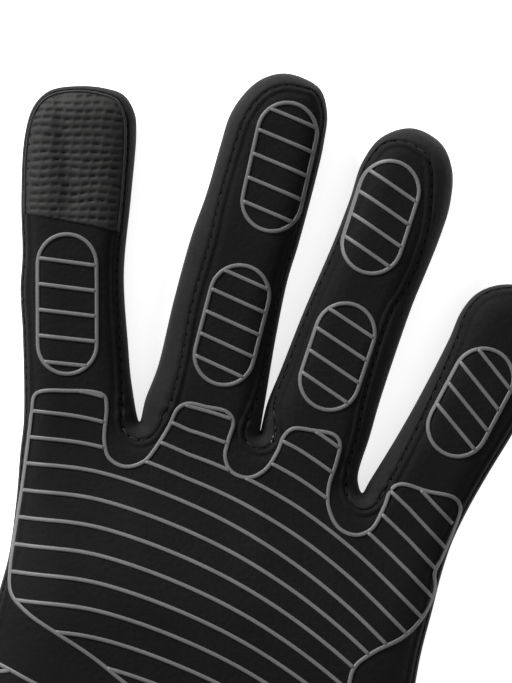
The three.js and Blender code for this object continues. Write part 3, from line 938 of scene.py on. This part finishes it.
def fabric_mesh():
    """Points, faces, kinds (palm, side or back) and closeness to a seam of the whole hand's fabric; the
    knit's colour darkens by that closeness as painted shade in the seams.
    """
    rows = banded_rows()
    points = [lifted(p, up, relief) for p, up, relief in rows]
    palm_seam, back_seam = len(SEAM_ROWS) - 1, len(rows) - len(SEAM_ROWS)
    # Painted shade for the knit's colour: 1 on the two seam rows, 0 elsewhere.
    sewn = [np.full(STATIONS, float(r in (palm_seam, back_seam))) for r in range(len(rows))]
    count = STATIONS
    faces, kinds = [], []
    for r in range(len(rows) - 1):
        for k in range(count - 1):
            a = r * count + k
            faces.append((a, a + 1, a + count + 1, a + count))
            if r < palm_seam:
                kinds.append("palm")
            elif r >= back_seam or not (station_strip[k] and station_strip[k + 1]):
                kinds.append("back")
            else:
                kinds.append("side")
    offset = len(rows) * count
    for row, up, kind in ((0, True, "palm"), (len(rows) - 1, False, "back")):
        loop = rows[row][0]
        border = np.vstack([loop, straight_end(loop[-1], loop[0])])
        filled, triangles = triangulated(border, PANEL_SPACING, PANEL_KEEP_OFF)
        new = filled[count:]
        points.append(lifted(new, up))
        sewn.append(np.zeros(len(new)))
        first = row * count
        for triangle in triangles:
            numbers = [first + i if i < count else offset + i - count for i in triangle]
            faces.append(numbers if up else numbers[::-1])
            kinds.append(kind)
        offset += len(new)
    return np.vstack(points), faces, kinds, np.concatenate(sewn)


def side_name(digit_name, part_name, right):
    return f"{digit_name}_{part_name}_fourchette_{'outer' if right else 'inner'}"


def nearest_crotch(point):
    return min(CROTCHES, key=lambda name: math.dist(CROTCHES[name][:2], point[:2]))


def give_strays_to_hand(faces, owner, part):
    """A bit beyond a gap that isn't joined to the rest of its digit belongs to the hand."""
    for i in range(len(DIGIT_LIST)):
        mine = np.flatnonzero(owner == i)
        joined_to = islands([faces[k] for k in mine])
        labels, sizes = np.unique(joined_to, return_counts=True)
        stray = mine[joined_to != labels[sizes.argmax()]]
        owner[stray], part[stray] = -1, HAND_PART


def add_fabric():
    points, faces, kinds, sewn = fabric_mesh()
    normals = vertex_normals(points, faces)
    middle = centres(points, faces)
    owner, part = parts_of(middle)
    give_strays_to_hand(faces, owner, part)
    across = {i: digit.across(middle) for i, digit in enumerate(DIGIT_LIST)}
    groups = {}
    for i, face in enumerate(faces):
        o, p, kind = int(owner[i]), int(part[i]), kinds[i]
        if o < 0:
            node = {"palm": "palm_panel", "back": "back_panel"}.get(kind)
            node = node or f"gusset_{nearest_crotch(middle[i])}"
        elif kind == "side":
            node = side_name(DIGIT_LIST[o].name, PART_NAMES[p], across[o][i] > 0)
        else:
            node = f"{DIGIT_LIST[o].name}_{PART_NAMES[p]}_{kind}"
        groups.setdefault((node, kind, o, p), []).append(face)
    for (node, kind, o, p), members in sorted(groups.items()):
        look, slot = FABRICS[kind]
        piece_points, piece_faces, piece_normals, piece_seam_shade = used_part(points, members, normals, sewn)
        obj = add_mesh(f"{node}_knit", piece_points, piece_faces, [look, LINING], normals=piece_normals)
        # Painted shade along the seams, read by the knit material.
        remember(obj, "sewn", piece_seam_shade)
        thicken(obj, KNIT_WALL, 1)
        settle(obj, DIGIT_LIST[o] if o >= 0 else None, p, node)


# ---- Sewing thread along the seams ----

STITCH = 1.7
STITCH_GAP = 0.85
THREAD_RADIUS = 0.17
THREAD_SIDES = 6
STITCH_END, STITCH_TAPER = 0.7, 0.55  # length and radius of a stitch's ends, in thread radii
SEAM_START = 1.0  # along a seam to its first stitch
THREAD_INSET = 0.12  # from the bottom of the seam's groove
# Relief of the surface under the thread, and how much higher the middle of the thread lies.
PALM_THREAD = (-0.5, 0.1)
BACK_THREAD = (-0.2, -0.05)


def stitch(a, b, axis):
    """A short rod with tapered ends between two points."""
    along = (b - a) / np.linalg.norm(b - a)
    end = along * THREAD_RADIUS * STITCH_END
    circle = circles(along, axis, THREAD_SIDES) * THREAD_RADIUS
    tip = circle * STITCH_TAPER
    return loft([a - end + tip, a + circle, b + circle, b + end + tip], capped=True)


def stitches(path, axis=UPWARD):
    """Stitches along a line of points in space that never runs along the axis."""
    steps = np.linalg.norm(np.diff(path, axis=0), axis=1)
    travelled = np.concatenate([[0], np.cumsum(steps)])

    def on_path(distance):
        return np.array([np.interp(distance, travelled, column) for column in path.T])

    rods = []
    start = SEAM_START
    while start + STITCH < travelled[-1]:
        rods.append(stitch(on_path(start), on_path(start + STITCH), axis))
        start += STITCH + STITCH_GAP
    return joined_meshes(rods)


def add_seam_thread():
    meshes = []
    for inset, up, (relief, lift) in ((station_inset, True, PALM_THREAD), (BACK_INSETS, False, BACK_THREAD)):
        path = lifted(row_points(inset + THREAD_INSET), up, relief)
        meshes.append(stitches(path + [0, 0, lift]))
    points, faces = joined_meshes(meshes)

    def thread_name(digit, part):
        return f"{digit}_{part}_seam_thread" if part else f"{digit}_seam_thread"

    add_by_part(points, faces, thread_name, [THREAD], "side_knit", whole=True)


# ---- Silicone grip lines ----

LINE_HALF = 0.45
LINE_HEIGHT = 0.34
LINE_STEP = 0.75
# Across a line: share of its half width and share of its height, over the top and back underneath.
LINE_SECTION = [
    (-1, -0.3), (-1, 0.45), (-0.72, 0.85), (-0.25, 1),
    (0.25, 1), (0.72, 0.85), (1, 0.45), (1, -0.3),
]


def line_mesh(curve, closed=False):
    """A raised silicone line over the palm side along a plan curve."""
    curve = resample(np.asarray(curve, float)[:, :2], LINE_STEP)
    if closed:
        curve = curve[:-1]
    right = turned_right(around(curve) if closed else tangents(curve))
    across, rise = np.array(LINE_SECTION).T
    flat = curve[:, None] + right[:, None] * LINE_HALF * across[:, None]
    points = lifted(flat.reshape(-1, 2), True, np.tile(rise * LINE_HEIGHT, len(curve)))
    return loft(points.reshape(len(curve), len(LINE_SECTION), 3), closed, capped=not closed)


OVAL_HALF = 6.75  # half width of an oval, to the middle of its line
ARC_STEPS = 18  # of each rounded end
SETTLING = 20  # rounds to find where a slanting stripe meets the rounded end of its oval


def oval_meshes(digit, oval):
    """The outline of a grip oval and its slanting stripes."""
    top, bottom = oval["ends"]
    top, bottom = top + LINE_HALF, bottom - LINE_HALF
    middle, reach = (top + bottom) / 2, (bottom - top) / 2 - OVAL_HALF

    def spot(across, from_tip):
        return digit.place(across + oval["across"], from_tip)

    angles = np.linspace(0, math.pi, ARC_STEPS + 1)
    ring = [spot(OVAL_HALF * math.cos(a), middle - reach - OVAL_HALF * math.sin(a)) for a in angles]
    ring += [spot(-OVAL_HALF * math.cos(a), middle + reach + OVAL_HALF * math.sin(a)) for a in angles]
    meshes = [line_mesh(np.array(ring + ring[:1]), closed=True)]
    rise = math.tan(math.radians(oval["slant"]))
    for k in range(oval["count"]):
        level = oval["first"] + k * oval["pitch"]
        ends = []
        for side in (-1, 1):
            across = OVAL_HALF
            for _ in range(SETTLING):
                beyond = max(abs(level + side * across * rise - middle) - reach, 0)
                fitting = math.sqrt(max(OVAL_HALF**2 - min(beyond, OVAL_HALF) ** 2, 0))
                across = (fitting + across) / 2
            ends.append(spot(side * across, level + side * across * rise))
        meshes.append(line_mesh(ends))
    return meshes


# The border of the palm print, clockwise: a tongue under each finger, round bays around the gaps
# between the fingers, the edge of the hand, the heel, and the crease of the thumb.
PALM_BORDER = [
    (-35.9, 167.2), (-35.2, 171), (-33.4, 171.9), (-27, 172), (-21.6, 171.7), (-19.2, 170.8), (-18.7, 168.4),
    (-19.2, 160.5), (-18, 156.6), (-14.4, 154.8), (-10.2, 156), (-7.6, 159), (-4.4, 164.2), (-2.6, 167.9),
    (-0.3, 169.1), (4, 168.3), (8.6, 167.2), (10.1, 165.1), (9, 161), (8.2, 157), (9.6, 153.7),
    (13.4, 152.3), (17.2, 154), (20.2, 158.4), (21.5, 161.6), (23.6, 163.4), (28, 163), (32.9, 162),
    (34.3, 160.2), (33.5, 155.8), (31.8, 150.5), (31.7, 145.6), (34, 140.9), (37.8, 139.3), (41.4, 140.6),
    (44.4, 145.8), (46, 149.7), (48.2, 150.8), (54, 149.2), (60.4, 147.6), (61.8, 145.4), (60.4, 140.4),
    (57.6, 133.8), (55.9, 130.6), (56, 126.8), (53.8, 121.6), (49, 116.8), (41.5, 113.3), (37.2, 110),
    (35.8, 104), (34.5, 92), (32.6, 79), (28.5, 71.6), (22, 69.6), (14.6, 72), (9.4, 80), (3.6, 91),
    (-4, 99.4), (-12.2, 105.1), (-21.6, 112.6), (-29, 117.5), (-36.4, 122.4), (-40.2, 126.4), (-40.7, 131),
    (-39.9, 138.5), (-38.2, 149.5), (-36.8, 160),
]
# Heights of one stripe over the palm, and how far apart neighbouring stripes are towards the fingers.
STRIPE_SHAPE = [
    (-43, 155.8), (-36.8, 155.5), (-21, 153.7), (0, 146.5), (17.5, 137.3), (36, 123.3), (60, 98.5),
]
STRIPE_PITCH = [(-36, 6.0), (0, 5.5), (25, 6.6), (50, 7.2)]
LOWER_PITCH = 6.15
STRIPES_UP, STRIPES_DOWN = 6, 13
STRIPE_STEP = 0.25
SHORTEST_STRIPE = 14  # steps


def stripes_on_palm(border):
    """Stripes inside the border, each cut where it leaves the border."""
    shape = smooth_curve(STRIPE_SHAPE, STRIPE_STEP)
    pitch_at, pitch = np.array(STRIPE_PITCH).T
    strokes = []
    for k in range(-STRIPES_DOWN, STRIPES_UP + 1):
        rise = np.interp(shape[:, 0], pitch_at, pitch) if k > 0 else LOWER_PITCH
        line = shape + np.stack([np.zeros(len(shape)), k * rise * np.ones(len(shape))], axis=1)
        kept = inside(line, border)
        ends = np.flatnonzero(np.diff(np.concatenate([[0], kept.astype(int), [0]])))
        strokes += [line[a:b] for a, b in zip(ends[::2], ends[1::2]) if b - a > SHORTEST_STRIPE]
    return strokes


THENAR_TOP = [(-47.6, 111.8), (-43.7, 110.8), (-38, 108.4), (-30, 104), (-20, 96.5), (-11.5, 86), (-7, 75)]
THENAR_LOW = [(-47.6, 111.8), (-50.5, 104), (-50, 93), (-43, 80.5), (-31, 72), (-18, 70), (-7, 75)]
THENAR_LINES = 7
THENAR_LEAN = 0.92  # how far a line's lower end keeps up with its upper end
THENAR_BOW = (-1.5, 1.5)  # of a line's middle
CURVE_STEP = 0.5


def thenar_meshes():
    """The print beside the thumb: a leaf between two curves, crossed by slanting lines."""
    top, low = smooth_curve(THENAR_TOP, CURVE_STEP), smooth_curve(THENAR_LOW, CURVE_STEP)
    meshes = [line_mesh(top), line_mesh(low)]
    for k in range(1, THENAR_LINES):
        share = k / THENAR_LINES
        start, end = top[int(share * len(top))], low[int(share * THENAR_LEAN * len(low))]
        meshes.append(line_mesh(smooth_curve([start, (start + end) / 2 + THENAR_BOW, end], CURVE_STEP)))
    return meshes


def add_silicone(meshes, name_of):
    add_by_part(*joined_meshes(meshes), name_of, [SILICONE], "silicone_grip")


def add_grips():
    border = closed_curve(PALM_BORDER, CURVE_STEP)[:, :2]

    def palm_name(digit, part):
        return "palm_grip_print" if digit == "hand" else f"{digit}_{part}_tongue_print"

    def thenar_name(digit, part):
        return "thumb_grip_print" if digit == "hand" else f"{digit}_{part}_grip_print"

    def oval_name(digit, part):
        return f"{digit}_{part}_grip_oval"

    add_silicone([line_mesh(border, closed=True), *map(line_mesh, stripes_on_palm(border))], palm_name)
    add_silicone(thenar_meshes(), thenar_name)
    for digit in DIGIT_LIST:
        if digit.ovals:
            add_silicone([mesh for oval in digit.ovals for mesh in oval_meshes(digit, oval)], oval_name)


# ---- Conductive patches ----

DIMPLE_ACROSS, DIMPLE_ALONG = 2.3, 1.86  # pitch of the dimples
DIMPLE_HALF = (0.95, 0.4)  # half length and half width of one
DIMPLE_DEPTH = 0.4
ROW_SHIFT = 0.15  # of a row against the one before, in pitches, for three rows in turn
ROW_SLANT = 0.04
WOBBLE_SCALE, DEPTH_SCALE = 5, 2.5  # of the unevenness of the rows and of the depth
PATCH_RISE = 0.3
PATCH_WALL = 0.25
PATCH_INSET = 0.5  # from the seam
PATCH_HALF = 11
PATCH_BORDER, PATCH_SPACING, PATCH_KEEP_OFF = 0.4, 0.34, 0.2  # spacing of the points
PATCH_PLAIN = (0.1, 0.9)  # distances from the border, between which the dimples begin
EDGE_SINK = -0.1
RIM_INSET, RIM_RISE, RIM_RADIUS, RIM_SPACING = 0.45, 0.3, 0.32, 0.6


def waffle(local, seed):
    """How deep each point lies in one of the patch's small dimples, from 0 to 1; the rows are uneven."""
    wobble = 0.5 * softness(local, WOBBLE_SCALE, seed)
    along = (local[:, 1] + wobble + ROW_SLANT * local[:, 0]) / DIMPLE_ALONG
    row = np.floor(along)
    across = local[:, 0] / DIMPLE_ACROSS + ROW_SHIFT * (row % 3) + 0.3 * wobble
    u = (across - np.floor(across) - 0.5) * DIMPLE_ACROSS / DIMPLE_HALF[0]
    v = (along - row - 0.5) * DIMPLE_ALONG / DIMPLE_HALF[1]
    depth = 0.8 + 0.35 * softness(local, DEPTH_SCALE, seed + 2)
    return depth * np.exp(-(u**4) - v**2)


def add_patch(digit, end_left, end_right, seed):
    """A patch that covers the fingertip inside the seam, down to a slightly slanting edge."""
    edge = row_points(station_inset + PATCH_INSET)
    local = digit.local(edge)
    owner, _ = parts_of(edge)
    limit = end_left + (end_right - end_left) * smooth_step(local[:, 0], -PATCH_HALF, PATCH_HALF)
    mine = np.flatnonzero((owner == DIGIT_LIST.index(digit)) & (local[:, 1] < limit))
    rim = edge[mine]
    loop = np.vstack([rim, straight_end(rim[-1], rim[0]), rim[:1]])
    border = resample(loop, PATCH_BORDER)[:-1]
    flat, triangles = triangulated(border, PATCH_SPACING, PATCH_KEEP_OFF)
    dimple = waffle(digit.local(flat), seed) * smooth_step(distance_to_nearest(flat, border), *PATCH_PLAIN)
    relief = PATCH_RISE - DIMPLE_DEPTH * dimple
    relief[: len(border)] = EDGE_SINK
    node = f"{digit.name}_touch_patch"
    patch = add_mesh(f"{node}_film", lifted(flat, True, relief), triangles, [PATCH])
    # The dimple depth is also kept for the film's colour, as painted shade in the dimples.
    remember(patch, "dimple", dimple)
    thicken(patch, PATCH_WALL)
    settle(patch, digit, TIP_PART, node)
    bead_path = lifted(row_points(station_inset + RIM_INSET)[mine], True, RIM_RISE)
    bead = add_mesh(f"{node}_rim", *tube(resample(bead_path, RIM_SPACING), RIM_RADIUS), [PATCH])
    settle(bead, digit, TIP_PART, None)


# ---- Cuff ----

# Left and right edge and half thickness of the cuff, from the mouth to the wrist.
CUFF_ROWS = [
    (0, -38, 46, 8), (18, -36.5, 45, 8), (42, -33.8, 43.2, 7.7), (50, -32.6, 42.6, 7.8),
    (WRIST, -33, 43, WRIST_HALF),
]
CUFF_ROUND = 18.5  # how far in from the cuff's edges its surface still rises
SECTION_POINTS = 400  # of half a section, before it is divided evenly
RIB_COUNT = 68
RIB_COLUMNS = 8  # points across a rib
RIB_DEPTH, RIB_SQUARENESS = 0.42, 1.6
RIB_INSET = 0.35
CUFF_SPACING = 1.2
UNDER_HEM, PAST_WRIST = 0.2, 0.9  # how far the cuff's fabric runs on at its ends
GATHER_DEPTH, GATHER_START = 0.25, 38  # soft gathers towards the wrist
GATHER_RIBS, GATHER_DRIFT = 3, 5
HEM_FADE, HEM_FLATTER = 4, 0.45  # length over which the hem flattens the ribs, and by what share
FLOOR_GAP = 0.02
HEM_RIB_COLUMNS, ELASTIC_RIB_COLUMNS = 4, 6
FINE_COLUMNS = RIB_COUNT * HEM_RIB_COLUMNS  # points round the hem, the elastic and the wrist seam
# From the inside of the hem round the mouth to its outside: distance from the mouth and inset.
HEM_PROFILE = [
    (5.5, 1.4), (5.3, 2.3), (3, 2.4), (1, 2.3), (0.3, 1.9), (0, 1.2),
    (0.2, 0.5), (0.8, 0.05), (1.9, -0.1), (3.4, -0.1), (4.6, 0.05), (5.3, 0.45),
]
HEM_RIB, HEM_THREAD_LIFT = 0.14, 0.06
HEM_THREADS = {"cuff_hem_thread_39": 3.9, "cuff_hem_thread_43": 4.3}  # distance from the mouth
ELASTIC_START, ELASTIC_END = WRIST - 7.3, WRIST - 0.3
ELASTIC_OUTSIDE, ELASTIC_INSIDE = 1.9, 2.5  # insets
ELASTIC_RIB = 0.12
SEAM_ROLL, ROLL_RISE = 0.75, 0.05  # radius of the wrist seam's roll, and its middle above the fabric
WRIST_THREAD, WRIST_THREAD_RISE = WRIST + 1.1, 0.15


def cuff_section(y):
    """Left edge, right edge and half thickness of the cuff at a distance from its mouth."""
    ys, *facts = np.array(CUFF_ROWS).T
    return [np.interp(y, ys, fact) for fact in facts]


def ring_at(y, inset, relief, columns=FINE_COLUMNS):
    """A closed ring of points round the cuff: clockwise seen from the mouth's outside, from its left
    edge over the palm. relief stands out of the surface, and may differ for each column."""
    left, right, half = cuff_section(y)
    centre, reach = (left + right) / 2, (right - left) / 2
    xs = -np.cos(np.linspace(0, math.pi, SECTION_POINTS))
    upper = np.stack([centre + xs * reach, half * bulge((1 - np.abs(xs)) * reach / CUFF_ROUND)], axis=1)
    loop = np.vstack([upper, (upper * [1, -1])[::-1]])
    even = resample(loop, np.linalg.norm(np.diff(loop, axis=0), axis=1).sum() / columns)[:columns]
    outward = -turned_right(around(even))
    moved = even + outward * (np.full(columns, relief) - inset)[:, None]
    z = np.maximum(moved[:, 1] + half, FLOOR_GAP + inset)
    return np.column_stack([moved[:, 0], np.full(columns, float(y)), z])


def add_to_hand(name, mesh, materials, node):
    obj = add_mesh(name, *mesh, materials)
    settle(obj, None, HAND_PART, node)


def add_cuff():
    columns = RIB_COUNT * RIB_COLUMNS
    phase = np.arange(columns) / RIB_COLUMNS * 2 * math.pi
    rib = RIB_DEPTH * np.tanh(RIB_SQUARENESS * np.cos(phase))
    rings = []
    for y in np.arange(HEM - UNDER_HEM, WRIST + PAST_WRIST, CUFF_SPACING):
        gather = GATHER_DEPTH * smooth_step(y, GATHER_START, WRIST)
        gather = gather * np.sin(phase / GATHER_RIBS + y / GATHER_DRIFT)
        shallower = 1 - HEM_FLATTER * smooth_step(y, HEM + HEM_FADE, HEM)
        rings.append(ring_at(y, RIB_INSET, rib * shallower + gather, columns))
    points, faces = loft(rings)
    normals = vertex_normals(points, faces)
    middle = centres(points, faces)
    on_palm = middle[:, 2] > [cuff_section(y)[2] for y in middle[:, 1]]
    for node, chosen in (("cuff_palm_half", on_palm), ("cuff_back_half", ~on_palm)):
        members = [face for face, keep in zip(faces, chosen) if keep]
        piece_points, piece_faces, piece_normals = used_part(points, members, normals)
        obj = add_mesh(f"{node}_rib", piece_points, piece_faces, [RIB_KNIT, LINING], piece_normals)
        thicken(obj, WALL, 1)
        settle(obj, None, HAND_PART, node)


def add_hem():
    """The folded edge of the mouth: a flattened roll, ribbed finely, with its inner layer."""
    rib = HEM_RIB * np.cos(np.arange(FINE_COLUMNS) * 2 * math.pi / HEM_RIB_COLUMNS)
    rings = [ring_at(y, inset, rib * (inset < 1)) for y, inset in HEM_PROFILE]
    add_to_hand("cuff_hem_fold", loft(rings, closed=True), [RIB_KNIT], "cuff_hem")
    for name, y in HEM_THREADS.items():
        thread = stitches(ring_at(y, 0, HEM_THREAD_LIFT), ALONG_CUFF)
        add_to_hand(name, thread, [THREAD], None)


def add_wrist_elastic():
    """A ribbed band inside the wrist."""
    rib = ELASTIC_RIB * np.cos(np.arange(FINE_COLUMNS) * 2 * math.pi / ELASTIC_RIB_COLUMNS)
    corners = [
        (ELASTIC_END, ELASTIC_OUTSIDE), (ELASTIC_END, ELASTIC_INSIDE),
        (ELASTIC_START, ELASTIC_INSIDE), (ELASTIC_START, ELASTIC_OUTSIDE),
    ]
    rings = [ring_at(y, inset, rib) for y, inset in corners]
    finer = []
    for a, b in zip(rings, rings[1:] + rings[:1]):
        finer += [a, (a + b) / 2]
    add_to_hand("wrist_elastic_band", loft(finer, closed=True), [ELASTIC], "wrist_elastic")


def add_wrist_seam():
    """The overlocked seam between cuff and hand."""
    points, faces = tube(ring_at(WRIST, -ROLL_RISE, 0), SEAM_ROLL, ALONG_CUFF, closed=True)
    points[:, 2] = np.maximum(points[:, 2], 0)
    add_to_hand("wrist_seam_roll", (points, faces), [BACK_KNIT], None)
    thread = stitches(ring_at(WRIST_THREAD, -WRIST_THREAD_RISE, 0), ALONG_CUFF)
    add_to_hand("wrist_seam_thread", thread, [THREAD], None)


add_fabric()
add_seam_thread()
add_grips()
add_patch(DIGIT["index"], end_left=30.8, end_right=33.8, seed=1.5)
add_patch(DIGIT["thumb"], end_left=25, end_right=25, seed=4.5)
add_cuff()
add_hem()
add_wrist_elastic()
add_wrist_seam()


# ---- Floor, light and camera ----

VIEW_CENTRE = (15.2, 183.2)  # the plan point in the middle of the picture
VIEW_HEIGHT = 157.1  # millimetres from the picture's lower edge to its upper one
LENS = 120
SENSOR = 36
FLOOR_HALF, FLOOR_LEVEL = 20, -0.0004  # metres
FLOOR_GLOW = 0.72
SKY = 0.42
LIGHT_TARGET = (0, 0.05, 0)


def add_floor():
    mesh = bpy.data.meshes.new("floor")
    corners = [(x * FLOOR_HALF, y * FLOOR_HALF, FLOOR_LEVEL) for x, y in ((-1, -1), (1, -1), (1, 1), (-1, 1))]
    mesh.from_pydata(corners, [], [(0, 1, 2, 3)])
    floor = bpy.data.objects.new("floor", mesh)
    collection.objects.link(floor)
    material = bpy.data.materials.new("floor")
    material.use_nodes = True
    shader = material.node_tree.nodes["Principled BSDF"]
    shader.inputs["Base Color"].default_value = (0.9, 0.9, 0.895, 1)
    shader.inputs["Roughness"].default_value = 0.8
    shader.inputs["Specular IOR Level"].default_value = 0.1
    shader.inputs["Emission Color"].default_value = (1, 1, 1, 1)
    shader.inputs["Emission Strength"].default_value = FLOOR_GLOW
    mesh.materials.append(material)


def add_area(name, place, size, power):
    light = bpy.data.lights.new(name, "AREA")
    light.energy = power
    light.size = size
    obj = bpy.data.objects.new(name, light)
    obj.location = place
    obj.rotation_euler = (Vector(LIGHT_TARGET) - Vector(place)).to_track_quat("-Z", "Y").to_euler()
    collection.objects.link(obj)


def add_lights():
    world = bpy.data.worlds.new("studio")
    bpy.context.scene.world = world
    world.use_nodes = True
    background = world.node_tree.nodes["Background"]
    background.inputs["Color"].default_value = (1, 1, 1, 1)
    background.inputs["Strength"].default_value = SKY
    add_area("key", place=(-0.85, 1.2, 0.62), size=0.5, power=54)
    add_area("fill", place=(0.3, -0.7, 1.4), size=1.2, power=3)


def add_camera():
    data = bpy.data.cameras.new("camera")
    data.sensor_width = SENSOR
    data.lens = LENS
    data.clip_start, data.clip_end = 0.01, 100
    camera = bpy.data.objects.new("camera", data)
    focus = to_frame([*VIEW_CENTRE, FINGER_HALF])
    camera.location = (focus[0], focus[1], focus[2] + VIEW_HEIGHT * MM * LENS / SENSOR)
    collection.objects.link(camera)
    bpy.context.scene.camera = camera


add_floor()
add_lights()
add_camera()
bpy.context.scene.view_settings.view_transform = "Standard"
